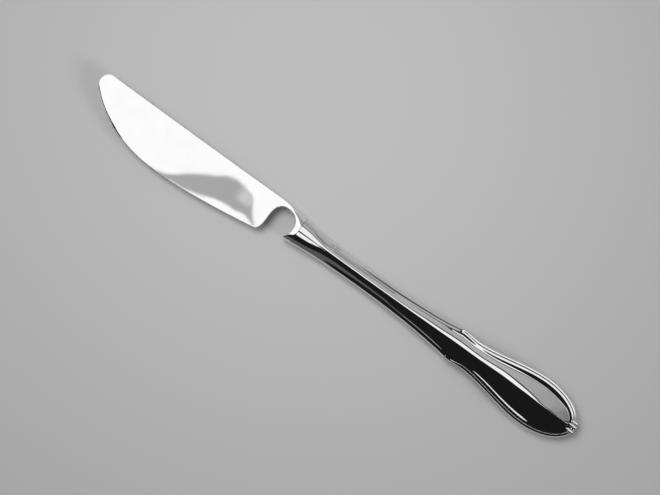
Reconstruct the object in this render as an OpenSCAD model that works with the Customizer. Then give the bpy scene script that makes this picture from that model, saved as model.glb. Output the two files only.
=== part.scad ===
// Table knife with a forged blade and a hollow handle of two pressed half shells.
// The knife lies on its side: X runs from the tip to the butt, +Y is the spine side and Z is the thickness.
// The origin is under the middle of the knife, at the surface that it rests on.
// Inside this file, x is measured from the joint between bolster and handle, y from the handle's middle line
// and z from the parting plane of the two half shells.

/* [Blade] */
// Length of the blade from the tip to the heel
blade_len = 77; // [65:0.5:95]
// Width of the blade from the spine to the lowest point of the belly
blade_w = 19; // [16:0.1:23]
// Thickness of the blade along the spine
spine_t = 2; // [1.6:0.1:2.4]
// Thickness left at the cutting edge
edge_t = 0.4; // [0.2:0.05:0.8]
// Distance of the spine from the handle's middle line
spine_y = 6.5; // [6:0.1:7.5]

/* [Neck and bolster] */
// Distance from the heel to the handle joint
neck_len = 14.2; // [13.4:0.1:18]
// Width of the open notch behind the heel
notch_w = 10.1; // [8:0.1:10.8]
// Width of the neck's strap between the notch and the spine
strap_w = 1.9; // [1.4:0.05:2.6]
// Metal left between the notch and the handle joint
bolster_land = 1.95; // [1.5:0.05:2.2]
// Reach of the bolster's beak past the notch's rear wall
beak_len = 1.85; // [1:0.05:2.5]
// Distance of the beak's point from the handle's middle line
beak_y = 5.35; // [5.2:0.05:5.8]

/* [Tang] */
// Length of the tang inside the handle
tang_len = 62; // [40:1:75]
// Width of the tang where it leaves the bolster
tang_root_w = 4; // [3:0.1:4.2]
// Width of the tang at its end
tang_end_w = 2.6; // [2:0.1:3]
// Thickness of the tang
tang_t = 2.4; // [1.6:0.1:2.6]

/* [Handle outline] */
// Length of the handle from the bolster joint to the butt
handle_len = 124.8; // [118:0.1:135]
// Width of the handle at the bolster joint
joint_w = 10.2; // [9.8:0.1:10.6]
// Width of the handle at its slimmest place
waist_w = 7.7; // [7.4:0.1:9]
// Width across the two shoulders before the bulb
cusp_w = 12.9; // [11.5:0.1:14]
// Width just behind the shoulders
pinch_w = 12.2; // [11:0.1:13]
// Width of the bulb at its widest
bulb_w = 20.3; // [17:0.1:24]
// Place of the slimmest part, as a share of the handle's length from the joint
waist_share = 0.232; // [0.19:0.002:0.29]
// Place of the shoulders, as a share of the handle's length
cusp_share = 0.569; // [0.53:0.002:0.6]
// Place of the pinch behind the shoulders, as a share of the handle's length
pinch_share = 0.625; // [0.61:0.002:0.66]
// Place where the bulb is widest, as a share of the handle's length
bulb_share = 0.853; // [0.82:0.002:0.87]

/* [Handle thickness] */
// Thickness at the bolster joint
joint_t = 8.4; // [8:0.1:9]
// Thickness at the slimmest place
waist_t = 7.2; // [7:0.1:8.4]
// Thickness of the bulb along its crest
bulb_t = 8.4; // [7.6:0.1:9.4]
// Thickness where the crest ends before the butt
crest_end_t = 6.2; // [5:0.1:7]
// Distance from the butt to the end of the crest
crest_end_gap = 8; // [6.5:0.1:9]
// Place where the bulb's crest is highest, as a share of the handle's length
bulb_top_share = 0.777; // [0.74:0.002:0.83]
// Width of the flat along the crest at the joint
joint_flat_w = 3.2; // [2.4:0.1:3.6]
// Width of the flat along the crest at the slimmest place
waist_flat_w = 0.6; // [0.4:0.05:1]
// Width of the flat along the crest of the bulb
bulb_flat_w = 1.8; // [1:0.1:2.4]

/* [Threaded border] */
// Height of the rim's upright side above the parting plane
rim_h = 1; // [0.8:0.05:1.2]
// Distance between the crests of the two threads
thread_w = 1.05; // [0.8:0.05:1.2]
// Height of a thread above the border's slope
thread_h = 0.38; // [0.1:0.02:0.5]
// Depth of the groove between the threads
groove_depth = 0.25; // [0.05:0.01:0.3]
// Width of the border at the joint, before the threads begin
joint_border_w = 1.2; // [1:0.1:1.6]
// Width of the border at the slimmest place
waist_border_w = 2.2; // [2:0.1:2.4]
// Width of the border round the bulb
bulb_border_w = 3.2; // [2.6:0.1:3.8]
// Height of the border's inner foot at the joint
joint_foot_h = 2.6; // [2.3:0.05:2.9]
// Height of the border's inner foot at the slimmest place
waist_foot_h = 2.45; // [2.2:0.05:2.7]
// Height of the border's inner foot round the bulb
bulb_foot_h = 1.45; // [1.3:0.05:1.8]
// Length from the joint over which the threads rise out of the plain metal
thread_start_len = 14; // [8:0.5:20]

/* [Butt ribs] */
// Number of ribs across the butt
rib_count = 3; // [1:2:3]
// Distance between neighbouring ribs
rib_pitch = 1.9; // [1.7:0.05:2.2]
// Distance of the middle rib from the handle's middle line, towards the spine side
rib_shift = 0.65; // [0:0.05:0.8]
// Radius of a rib
rib_r = 0.8; // [0.6:0.05:0.85]
// Length of a rib
rib_len = 3.6; // [2.5:0.1:4.5]
// How far the middle rib stands past the border's end
rib_reach = 0.4; // [0.2:0.05:0.6]

/* [Sheet and joints] */
// Thickness of the pressed sheet of the half shells
sheet_t = 0.8; // [0.6:0.05:0.9]
// Thickness of the solder between the two half shells
seam_t = 0.1; // [0.06:0.02:0.2]
// Thickness of the solder between bolster and handle
joint_solder_t = 0.16; // [0.1:0.02:0.3]
// Depth of the solder lines below the polished surface
solder_recess = 0.12; // [0.05:0.01:0.2]
// Clearance of the cast filling to the metal round it
cast_gap = 0.1; // [0.05:0.01:0.15]

/* [Hidden] */

steel = "#c9ccce";
solder = "#b9b4a2";
filler = "#a79f92";

// Steps of each curve of an outline
curve_steps = 14;
// Stations along the handle: joint to waist, waist to shoulders, shoulders to pinch, pinch to bulb, bulb to butt
waist_steps = 9;
cusp_steps = 13;
pinch_steps = 4;
bulb_steps = 12;
butt_steps = 12;
// Facets round a rib
rib_facets = 24;
// Rings along the bolster's swelling, with the one past the joint
bolster_rings = 9;
// One overrun for every cut
overrun = 1;

heel_x = -neck_len;
tip_x = -(neck_len + blade_len);
belly_y = spine_y - blade_w;
// The handle's own border ends just short of the ribs
butt_x = handle_len - rib_reach;
waist_x = handle_len * waist_share;
cusp_x = handle_len * cusp_share;
pinch_x = handle_len * pinch_share;
bulb_x = handle_len * bulb_share;
bulb_top_x = handle_len * bulb_top_share;
crest_end_x = handle_len - crest_end_gap;
half_t = max(joint_t, bulb_t) / 2;

// Outline of the blade: shares of the blade's length from the heel and of its width from the spine.
// Each row is one curve with its two ends and the two points that it leans towards.
spine_shares = [[0, 0], [0.205, 0.003], [0.594, -0.002], [0.966, -0.022]];
tip_shares = [[0.966, -0.022], [0.992, 0.005], [1.001, 0.1], [1, 0.189]];
front_shares = [[1, 0.189], [0.996, 0.426], [0.803, 0.989], [0.556, 0.996]];
belly_shares = [[0.556, 0.996], [0.413, 1.022], [0.205, 0.916], [0, 0.782]];

// Outline of the notch: shares of its width from the heel side, and of its depth from its top.
// The heel curve runs from the blade's edge up to the wall, the wall and arch curves run over the top,
// and the beak curve ends at the beak's point.
heel_shares = [[-0.213, 1], [-0.045, 0.973], [0, 0.79], [0, 0.592]];
wall_shares = [[0, 0.592], [0, 0.4], [-0.03, 0], [0.411, 0]];
arch_shares = [[0.411, 0], [0.79, 0], [1, 0.2], [1, 0.44]];
// How far each lean of the beak's curve goes from the rear wall to the beak's point
beak_shares = [[0, 0], [0, 0.44], [0.51, 0.76], [1, 1]];

// Back of the neck, from the end of the straight spine to the joint: shares of the neck's length and of the
// height between the spine and the joint
back_shares = [[0, 0], [0.35, 0.03], [0.7, 0.62], [1, 1]];
back_start_share = 0.8;
// Slopes of the handle's outline where its curves meet
joint_slope_share = -0.1;
cusp_rise_share = 0.15;
cusp_fall_share = -0.07;
bulb_rise_share = 0.04;
// Place where the rays of the border begin to turn towards the butt, between the pinch and the bulb
fan_share = 0.45;
// How much the pressed field swells over a straight slope, at the joint and at the bulb
joint_swell_share = 0.75;
bulb_swell_share = 0.12;
// The bolster's swelling begins this share of the neck's length before the joint
bolster_share = 0.92;
// Places of the threads and of the groove between them, where the border is too narrow for the full width
thread_shares = [0.25, 0.5, 0.75];
// Places of the field's rows between the border's foot and the crest
field_shares = [0.12, 0.45, 0.78];
// The sheet's inner bend starts this share of the rim's height above the parting plane
bend_share = 0.85;

function mix(a, b, t) = a + (b - a) * t;
function ease(t) = let(c = min(max(t, 0), 1)) c * c * (3 - 2 * c);
// Runs smoothly from one value to another between two places
function along(x, x_a, x_b, a, b) = mix(a, b, ease((x - x_a) / (x_b - x_a)));
// A curve between two values with a set slope at each end
function sloped(a, b, slope_a, slope_b, span, t) =
    mix(a, b, ease(t)) + span * t * (1 - t) * (slope_a * (1 - t) - slope_b * t);
// Points of a curve that leaves its first point towards the second and reaches the last from the third
function curve(p, steps) =
    [for (i = [0:steps - 1]) let(t = i / steps, s = 1 - t)
        s * s * s * p[0] + 3 * s * s * t * p[1] + 3 * s * t * t * p[2] + t * t * t * p[3]];

function blade_point(share) = [heel_x - share[0] * blade_len, spine_y - share[1] * blade_w];
function blade_curve(shares) = curve([for (s = shares) blade_point(s)], curve_steps);

// The notch's top, its far wall and its depth down to the heel
notch_top_y = spine_y - strap_w;
notch_rear_x = -bolster_land;
notch_front_x = notch_rear_x - notch_w;
notch_depth = notch_top_y - blade_point(belly_shares[3])[1];
// The heel's curve starts at the blade's heel, so its first place follows that point
function notch_point(share) = [notch_front_x + share[0] * notch_w, notch_top_y - share[1] * notch_depth];
heel_curve = concat([blade_point(belly_shares[3])], [for (i = [1:3]) notch_point(heel_shares[i])]);
wall_end = notch_point(arch_shares[3]);
beak_tip = [notch_rear_x - beak_len, -beak_y];
beak_curve = [for (s = beak_shares) [mix(wall_end[0], beak_tip[0], s[0]), mix(wall_end[1], beak_tip[1], s[1])]];
back_start_x = -neck_len * back_start_share;
back_curve = [for (s = back_shares)
    [mix(back_start_x, 0, s[0]), mix(spine_y, joint_w / 2, s[1])]];

// Half of the handle's width at a place along it
function half_w(x) =
    x < waist_x ? sloped(joint_w / 2, waist_w / 2, joint_slope_share, 0, waist_x, x / waist_x)
    : x < cusp_x ? sloped(waist_w / 2, cusp_w / 2, 0, cusp_rise_share, cusp_x - waist_x,
        (x - waist_x) / (cusp_x - waist_x))
    : x < pinch_x ? sloped(cusp_w / 2, pinch_w / 2, cusp_fall_share, 0, pinch_x - cusp_x,
        (x - cusp_x) / (pinch_x - cusp_x))
    : x < bulb_x ? sloped(pinch_w / 2, bulb_w / 2, bulb_rise_share, 0, bulb_x - pinch_x,
        (x - pinch_x) / (bulb_x - pinch_x))
    : bulb_w / 2 * sqrt(max(0, 1 - pow((x - bulb_x) / (butt_x - bulb_x), 2)));

// Height of the crest, flat width of the crest, and width and foot height of the border along the handle
function crest_h(x) =
    x < waist_x ? along(x, 0, waist_x, joint_t, waist_t) / 2
    : x < bulb_top_x ? along(x, waist_x, bulb_top_x, waist_t, bulb_t) / 2
    : mix(bulb_t, crest_end_t, pow((x - bulb_top_x) / (crest_end_x - bulb_top_x), 2)) / 2;
function flat_w(x) =
    x < waist_x ? along(x, 0, thread_start_len, joint_flat_w, waist_flat_w)
    : x < bulb_top_x ? along(x, waist_x, bulb_top_x, waist_flat_w, bulb_flat_w)
    : along(x, bulb_top_x, crest_end_x, bulb_flat_w, 0);
function border_w(x) =
    x < waist_x ? along(x, 0, thread_start_len, joint_border_w, waist_border_w)
    : along(x, pinch_x, bulb_x, waist_border_w, bulb_border_w);
function foot_h(x) =
    x < waist_x ? along(x, 0, waist_x, joint_foot_h, waist_foot_h)
    : along(x, waist_x, bulb_top_x, waist_foot_h, bulb_foot_h);
function swell(x) = along(x, 0, bulb_top_x, joint_swell_share, bulb_swell_share);
// The threads rise out of the plain metal behind the joint
function thread_rise(x) = ease(x / thread_start_len);

// Outer profile of a half shell: distance in from the rim and height, from the rim to the crest.
// reach is the distance from the rim to the edge of the crest's flat.
function outer_profile(x, x_crest, reach, base) =
    let(border = border_w(x),
        foot = foot_h(x),
        rise = thread_rise(x),
        places = [for (i = [0:2]) min(thread_w * (i + 1) / 2, border * thread_shares[i])],
        lifts = [thread_h, thread_h - groove_depth, thread_h],
        top = crest_h(x_crest))
    concat(
        [[0, base], [0, rim_h]],
        [for (i = [0:2]) [places[i], mix(rim_h, foot, places[i] / border) + rise * lifts[i]]],
        [[border, foot]],
        [for (s = field_shares)
            [mix(border, reach, s), mix(foot, top, s * (1 + swell(x) * (1 - s)))]],
        [[reach, top]]);

// Profile of a surface that lies one inset inside the shell, with half as many points
function inner_profile(x, x_crest, reach, base, inset) =
    let(border = border_w(x), foot = foot_h(x) - inset, top = crest_h(x_crest) - inset, s = field_shares[1])
    [[inset, base],
     [inset, rim_h * bend_share],
     [border + inset / 2, foot],
     [mix(border, reach, s) + inset / 2, mix(foot, top, s)],
     [reach, top]];

// Places along the handle, close together where the outline turns
function stations(start_x) = concat(
    [for (i = [0:waist_steps - 1]) mix(start_x, waist_x, i / waist_steps)],
    [for (i = [0:cusp_steps - 1]) mix(waist_x, cusp_x, i / cusp_steps)],
    [for (i = [0:pinch_steps - 1]) mix(cusp_x, pinch_x, i / pinch_steps)],
    [for (i = [0:bulb_steps - 1]) mix(pinch_x, bulb_x, i / bulb_steps)],
    [for (i = [0:butt_steps]) mix(bulb_x, butt_x, sin(90 * i / butt_steps))]);

// Each ray runs from the rim to the crest. Past the fan's start the rays lean back from the butt.
fan_x = mix(pinch_x, bulb_x, fan_share);
function crest_x(x) = x < fan_x ? x : mix(fan_x, crest_end_x, (x - fan_x) / (butt_x - fan_x));
function rim_point(x) = [x, half_w(x)];
function crest_point(x) = [crest_x(x), flat_w(crest_x(x)) / 2];
function ray_point(x, reach, step) =
    let(p = mix(rim_point(x), crest_point(x), step[0] / reach)) [p[0], p[1], step[1]];
function ray_len(x) = norm(crest_point(x) - rim_point(x));
function outer_ray(x, base) =
    let(reach = ray_len(x)) [for (s = outer_profile(x, crest_x(x), reach, base)) ray_point(x, reach, s)];
function inner_ray(x, base, inset) =
    let(reach = ray_len(x)) [for (s = inner_profile(x, crest_x(x), reach, base, inset)) ray_point(x, reach, s)];

function flip_y(p) = [p[0], -p[1], p[2]];
function flip_z(p) = [p[0], p[1], -p[2]];
function reversed(list) = [for (i = [len(list) - 1:-1:0]) list[i]];
// A ring over the handle, from the rim on the spine side across the crest to the other rim
function ring(ray) = concat(ray, [for (p = reversed(ray)) flip_y(p)]);
// At the butt both sides of a ring are one ray, so their points are shared
function ring_index(i, c, last, count) = i * count + (i < last ? c : min(c, count - 1 - c));
function kept(faces) = [for (f = faces) if (f[0] != f[1] && f[1] != f[2] && f[0] != f[2]) f];
function quad(a, b, c, d) = [[a, b, c], [a, c, d]];
function joined(lists) = [for (list = lists) for (item = list) item];

// One half shell: outer skin, inner skin, the flat rim between them and the open front end
module half_shell() {
    xs = stations(joint_solder_t);
    last = len(xs) - 1;
    base = seam_t / 2;
    outer = [for (x = xs) ring(outer_ray(x, base))];
    inner = [for (x = xs) ring(inner_ray(x, base, sheet_t))];
    wide = len(outer[0]);
    narrow = len(inner[0]);
    start = len(xs) * wide;
    outer_faces = joined([for (i = [0:last - 1], c = [0:wide - 2]) quad(
        ring_index(i, c, last, wide), ring_index(i + 1, c, last, wide),
        ring_index(i + 1, c + 1, last, wide), ring_index(i, c + 1, last, wide))]);
    inner_faces = joined([for (i = [0:last - 1], c = [0:narrow - 2]) quad(
        start + ring_index(i, c, last, narrow), start + ring_index(i, c + 1, last, narrow),
        start + ring_index(i + 1, c + 1, last, narrow), start + ring_index(i + 1, c, last, narrow))]);
    rim_faces = joined([for (i = [0:last - 1]) concat(
        quad(ring_index(i, 0, last, wide), start + ring_index(i, 0, last, narrow),
            start + ring_index(i + 1, 0, last, narrow), ring_index(i + 1, 0, last, wide)),
        quad(start + ring_index(i, narrow - 1, last, narrow), ring_index(i, wide - 1, last, wide),
            ring_index(i + 1, wide - 1, last, wide), start + ring_index(i + 1, narrow - 1, last, narrow)))]);
    // Two outer points stand over each inner point of the front end
    front_faces = joined([for (c = [0:wide - 2]) let(m = floor(c / 2), n = floor((c + 1) / 2)) m == n
        ? [[c, c + 1, start + m]]
        : quad(c, c + 1, start + n, start + m)]);
    polyhedron(
        points = concat(joined(outer), joined(inner)),
        faces = kept(concat(outer_faces, inner_faces, rim_faces, front_faces)));
}

// Three short ribs across the butt, half of each in either shell
module butt_ribs() {
    axis_z = rim_h;
    for (i = [0:rib_count - 1]) {
        across = (i - (rib_count - 1) / 2) * rib_pitch;
        y = rib_shift + across;
        // The outer ribs end on the same round outline as the middle one
        end_x = handle_len - rib_r - (handle_len - bulb_x) * (1 - sqrt(1 - pow(2 * across / bulb_w, 2)));
        straight_len = rib_len - 2 * rib_r;
        translate([end_x - straight_len, y, axis_z]) {
            rotate([0, 90, 0]) cylinder(r = rib_r, h = straight_len, $fn = rib_facets);
            sphere(r = rib_r, $fn = rib_facets);
            translate([straight_len, 0, 0]) sphere(r = rib_r, $fn = rib_facets);
        }
        // The rib's outer end runs straight down to the parting plane
        translate([end_x, y, seam_t / 2]) cylinder(r = rib_r, h = axis_z - seam_t / 2, $fn = rib_facets);
    }
}

module handle_half() {
    half_shell();
    butt_ribs();
}

// Plan of the one forging, from the joint round the blade and the notch to the beak
forging_outline = concat(
    blade_curve(spine_shares),
    blade_curve(tip_shares),
    blade_curve(front_shares),
    blade_curve(belly_shares),
    curve(heel_curve, curve_steps),
    curve([for (s = wall_shares) notch_point(s)], curve_steps),
    curve([for (s = arch_shares) notch_point(s)], curve_steps),
    curve(beak_curve, curve_steps),
    [beak_tip, [0, -joint_w / 2], [0, joint_w / 2]],
    reversed(curve(back_curve, curve_steps)));

// The blade is ground to one wedge, thick at the spine and thin at the edge
module blade_wedge() {
    taper = (spine_t - edge_t) / 2 / blade_w;
    low_y = belly_y - overrun;
    high_y = spine_y + overrun;
    low_t = edge_t / 2 - taper * overrun;
    high_t = spine_t / 2 + taper * overrun;
    rotate([90, 0, 90])
        translate([0, 0, tip_x - overrun])
            linear_extrude(height = -bolster_land / 2 - tip_x + overrun)
                polygon([[low_y, -low_t], [high_y, -high_t], [high_y, high_t], [low_y, low_t]]);
}

// Swelling of the metal from the blade's thickness to the handle's section at the joint
module bolster_form() {
    form_len = neck_len * bolster_share;
    joint_profile = outer_profile(0, 0, joint_w / 2 - joint_flat_w / 2, 0);
    // The rim's upright side is left out, and its first slope runs on past the outline
    slope = (joint_profile[2][1] - rim_h) / joint_profile[2][0];
    side = concat(
        [[-overrun, 0], [-overrun, rim_h - slope * overrun / 2]],
        [for (i = [2:len(joint_profile) - 1]) joint_profile[i]]);
    function spread(i) = i / (bolster_rings - 2);
    function place_x(i) = i < bolster_rings - 1 ? mix(-form_len, 0, spread(i)) : overrun;
    function lift(i) = i < bolster_rings - 1 ? mix(edge_t / spine_t / 2, 1, ease(spread(i))) : 1;
    function low(i) = -mix(beak_y, joint_w / 2, min(1, spread(i)));
    function high(i) = mix(spine_y, joint_w / 2, ease(min(1, spread(i))));
    function middle(i) = (high(i) + low(i)) / 2;
    function half(i) = (high(i) - low(i)) / 2;
    function section(i) = [for (s = side)
        [place_x(i), (joint_w / 2 - s[0]) * half(i) / (joint_w / 2), s[1] * lift(i)]];
    function whole(i) = let(top = ring(section(i)), flat = [for (p = top) [p[0], p[1] + middle(i), p[2]]])
        concat(flat, [for (k = [len(flat) - 2:-1:1]) flip_z(flat[k])]);
    loops = [for (i = [0:bolster_rings - 1]) whole(i)];
    count = len(loops[0]);
    faces = concat(
        joined([for (i = [0:bolster_rings - 2], c = [0:count - 1]) quad(
            i * count + c, (i + 1) * count + c,
            (i + 1) * count + (c + 1) % count, i * count + (c + 1) % count)]),
        [for (c = [1:count - 2]) [0, c, c + 1]],
        [for (c = [1:count - 2]) let(b = (bolster_rings - 1) * count) [b, b + c + 1, b + c]]);
    polyhedron(points = joined(loops), faces = faces);
}

module tang() {
    root = tang_root_w / 2;
    end = tang_end_w / 2;
    linear_extrude(height = tang_t, center = true)
        polygon([[-bolster_land / 2, -root], [tang_len, -end], [tang_len, end], [-bolster_land / 2, root]]);
}

module blade() {
    color(steel) placed() {
        intersection() {
            linear_extrude(height = 2 * half_t + 2 * overrun, center = true) polygon(forging_outline);
            union() {
                blade_wedge();
                bolster_form();
            }
        }
        tang();
    }
}

module handle_half_upper() {
    color(steel) placed() handle_half();
}

module handle_half_lower() {
    color(steel) placed() mirror([0, 0, 1]) handle_half();
}

// Strip of solder between the flat rims of the two half shells, in the shape of a long U
module seam_solder() {
    xs = stations(joint_solder_t);
    function inset_point(x, inset) = mix(rim_point(x), crest_point(x), inset / ray_len(x));
    outside = [for (x = xs) inset_point(x, solder_recess)];
    inside = [for (x = xs) inset_point(x, sheet_t)];
    last = len(xs) - 1;
    function low_side(line) = [for (i = [last - 1:-1:0]) [line[i][0], -line[i][1]]];
    color(solder) placed()
        linear_extrude(height = seam_t, center = true)
            polygon(concat(outside, low_side(outside), reversed(low_side(inside)), reversed(inside)));
}

// Ring of solder between the bolster's rear face and the ends of the half shells
module bolster_solder() {
    reach = joint_w / 2 - joint_flat_w / 2;
    function loop(profile) =
        let(side = [for (s = profile) [joint_w / 2 - s[0], s[1]]],
            top = concat(side, [for (p = reversed(side)) [-p[0], p[1]]]))
        concat(top, [for (p = reversed(top)) [p[0], -p[1]]]);
    full = outer_profile(0, 0, reach, seam_t / 2);
    // Each point of the outer loop is drawn in by the recess
    outer = [for (s = full) [s[0] + solder_recess, s[1] - (s[1] > rim_h ? solder_recess : 0)]];
    inner = inner_profile(0, 0, reach, seam_t / 2, sheet_t);
    color(solder) placed() rotate([90, 0, 90]) linear_extrude(height = joint_solder_t) difference() {
        polygon(loop(outer));
        polygon(loop(inner));
    }
}

// Filling that is cast round the tang and fills the handle
module handle_filling() {
    xs = stations(0);
    last = len(xs) - 1;
    function half_ring(x) = let(ray = inner_ray(x, 0, sheet_t + cast_gap)) ring([for (i = [1:4]) ray[i]]);
    rings = [for (x = xs) let(top = half_ring(x)) concat(top, [for (p = reversed(top)) flip_z(p)])];
    count = len(rings[0]);
    half = count / 2;
    // At the butt the two sides share their points, above and below
    function at(i, c) = let(k = c % count) i * count + (i < last ? k
        : k < half ? min(k, half - 1 - k) : half + min(k - half, count - 1 - k));
    centre = len(xs) * count;
    sides = joined([for (i = [0:last - 1], c = [0:count - 1])
        quad(at(i, c), at(i + 1, c), at(i + 1, c + 1), at(i, c + 1))]);
    front = [for (c = [0:count - 1]) [centre, c, (c + 1) % count]];
    color(filler) placed() difference() {
        polyhedron(points = concat(joined(rings), [[0, 0, 0]]), faces = kept(concat(sides, front)));
        tang_pocket();
    }
}

// Room that the filling leaves for the tang
module tang_pocket() {
    root = tang_root_w / 2 + cast_gap;
    end = tang_end_w / 2 + cast_gap;
    length = tang_len + cast_gap;
    linear_extrude(height = tang_t + 2 * cast_gap, center = true)
        polygon([[-overrun, -root], [length, -end], [length, end], [-overrun, root]]);
}

module placed() {
    translate([-(tip_x + handle_len) / 2, -(bulb_w / 2 + belly_y) / 2, half_t]) children();
}

blade();
handle_half_upper();
handle_half_lower();
seam_solder();
bolster_solder();
handle_filling();
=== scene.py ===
import bpy
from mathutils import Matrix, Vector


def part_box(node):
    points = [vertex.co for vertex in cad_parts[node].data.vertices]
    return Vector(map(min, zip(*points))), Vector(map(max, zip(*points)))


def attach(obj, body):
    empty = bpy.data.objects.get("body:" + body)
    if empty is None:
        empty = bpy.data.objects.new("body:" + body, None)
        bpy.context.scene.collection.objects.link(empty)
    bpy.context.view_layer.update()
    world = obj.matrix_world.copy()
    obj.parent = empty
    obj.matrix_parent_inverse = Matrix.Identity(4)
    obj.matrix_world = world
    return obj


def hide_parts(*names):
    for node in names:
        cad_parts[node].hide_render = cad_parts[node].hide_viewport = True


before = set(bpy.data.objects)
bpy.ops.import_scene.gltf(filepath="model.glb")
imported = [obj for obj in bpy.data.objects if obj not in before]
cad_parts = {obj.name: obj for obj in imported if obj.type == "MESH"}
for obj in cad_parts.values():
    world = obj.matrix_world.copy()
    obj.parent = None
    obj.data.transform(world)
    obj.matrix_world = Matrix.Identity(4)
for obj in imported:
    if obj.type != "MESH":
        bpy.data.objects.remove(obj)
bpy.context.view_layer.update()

import bpy
import math
import numpy as np
from mathutils import Matrix, Vector
from mathutils.geometry import delaunay_2d_cdt

# Half shells of the handle.
# Each is pressed from 0.8 mm stainless sheet: a rounded rim, two raised threads, a sunk ground inside them
# and a ridge along the middle. The two are soldered rim to rim and buffed to a mirror.

# Millimetres from the middle of the bolster joint: x towards the butt, y towards the spine side, z upwards.
# The solder of the two joints gives the joint's place, the handle's middle line and the parting plane.
seam_low, seam_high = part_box("seam_solder")
joint_low, joint_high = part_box("bolster_solder")
JOINT_X = joint_low.x * 1000
AXIS_Y = (seam_low.y + seam_high.y) * 500
PART_Z = (seam_low.z + seam_high.z) * 500
SHELL_START = joint_high.x * 1000 - JOINT_X

HANDLE_L = 124.4
# Places of the slimmest part, the shoulders, the pinch and the bulb, and the widths from the joint on
WAIST_X, CUSP_X, PINCH_X, BULB_X = 28.95, 71.0, 78.0, 106.45
JOINT_W, WAIST_W, CUSP_W, PINCH_W, BULB_W = 10.2, 7.7, 12.9, 12.2, 20.3
# Slope of the outline at the joint, on both sides of the shoulders and at the pinch
JOINT_TURN, CUSP_IN, CUSP_OUT, PINCH_TURN = -0.1, 0.15, -0.07, 0.04
# The sheet's thickness and half of the seam's
SHEET_T, SEAM_HALF = 0.8, 0.05
# Behind the first place the sections fan out round the ridge, which ends at the second
FAN_START, RIDGE_END = 90.8, 116.8

# Height of the ridge over the parting plane: place, height
RIDGE_Z = (
    (0, 4.2), (4.8, 4.16), (8.4, 4.1), (12, 4.02), (19.4, 3.85), (34, 3.62), (50, 3.48), (65, 3.41),
    (71.5, 3.41), (78, 3.44), (87, 3.60), (94, 3.84), (102, 4.15), (107, 4.19), (110.3, 4.1),
    (113.4, 3.74), (RIDGE_END, 3.28), (125, 3.23))
# Radius of the ridge's crown: place, radius
RIDGE_R = (
    (0, 12), (4.8, 10), (8.4, 6.6), (12, 4.2), (19.4, 3.3), (40, 3.1), (50, 4), (56, 5.4), (63, 6.5),
    (71, 8.7), (80, 7.8), (91, 11), (100, 8.5), (105, 5), (108.5, 1.5), (RIDGE_END, 0.8))
# Height of the rim's wall over the parting plane: place, height
RIM_Z = (
    (14, 0.75), (20, 0.80), (30, 0.95), (36, 0.93), (45, 0.80), (56, 0.80), (60, 0.64), (64, 0.54),
    (67.5, 0.66), (69.2, 0.82), (70, 1.26), (72, 1.33), (74, 1.40), (78, 1.43), (84, 1.47), (87, 1.47),
    (90, 1.42), (94, 1.24), (100, 0.83), (104, 0.66), (108, 0.53), (112, 0.43))
# The border, as a place along the handle and the distances in from the rim where its slope is set: the rim
# (one), the first thread (two), the groove behind it (two), the second thread (two), its inner side, the
# sunk ground (two) and the flank's foot
BORDER = (
    (0, 0.30, 0.46, 0.75, 1.00, 1.15, 1.50, 1.80, 2.00, 2.10, 2.20, 2.35),
    (4.8, 0.30, 0.46, 0.75, 1.00, 1.15, 1.50, 1.75, 1.95, 2.10, 2.25, 2.40),
    (12, 0.30, 0.46, 0.75, 1.00, 1.15, 1.50, 1.80, 2.10, 2.30, 2.50, 2.70),
    (34, 0.30, 0.44, 0.64, 0.93, 1.20, 1.45, 1.66, 1.92, 2.05, 2.20, 2.45),
    (66, 0.30, 0.42, 0.60, 0.90, 1.15, 1.35, 1.62, 1.92, 2.04, 2.20, 2.50),
    (69.5, 0.26, 0.38, 0.60, 0.80, 0.94, 1.20, 1.50, 1.75, 2.15, 2.35, 2.75),
    (72.5, 0.18, 0.30, 0.56, 0.68, 0.80, 1.00, 1.45, 1.75, 2.10, 2.35, 2.75),
    (78, 0.22, 0.36, 0.96, 1.12, 1.28, 1.45, 1.80, 2.00, 2.15, 2.40, 2.70),
    (84, 0.24, 0.38, 0.94, 1.10, 1.26, 1.44, 2.02, 2.20, 2.42, 2.60, 3.05),
    (87, 0.26, 0.40, 0.92, 1.09, 1.24, 1.44, 2.08, 2.28, 2.52, 2.80, 3.30),
    (91, 0.28, 0.42, 0.92, 1.10, 1.24, 1.45, 2.12, 2.32, 2.58, 2.98, 3.48),
    (96, 0.32, 0.46, 1.00, 1.20, 1.34, 1.54, 2.20, 2.40, 2.68, 3.30, 3.74),
    (102, 0.34, 0.50, 1.10, 1.30, 1.44, 1.64, 2.25, 2.42, 2.74, 3.72, 3.96),
    (107, 0.34, 0.50, 1.10, 1.30, 1.44, 1.64, 2.25, 2.42, 2.74, 3.90, 4.15),
    (112, 0.34, 0.50, 1.08, 1.26, 1.38, 1.56, 2.15, 2.32, 2.70, 3.90, 4.15),
    (117, 0.34, 0.48, 1.04, 1.20, 1.32, 1.48, 2.05, 2.25, 2.60, 3.55, 3.80),
    (121, 0.34, 0.48, 1.04, 1.20, 1.32, 1.48, 2.00, 2.20, 2.50, 3.00, 3.25))
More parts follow.
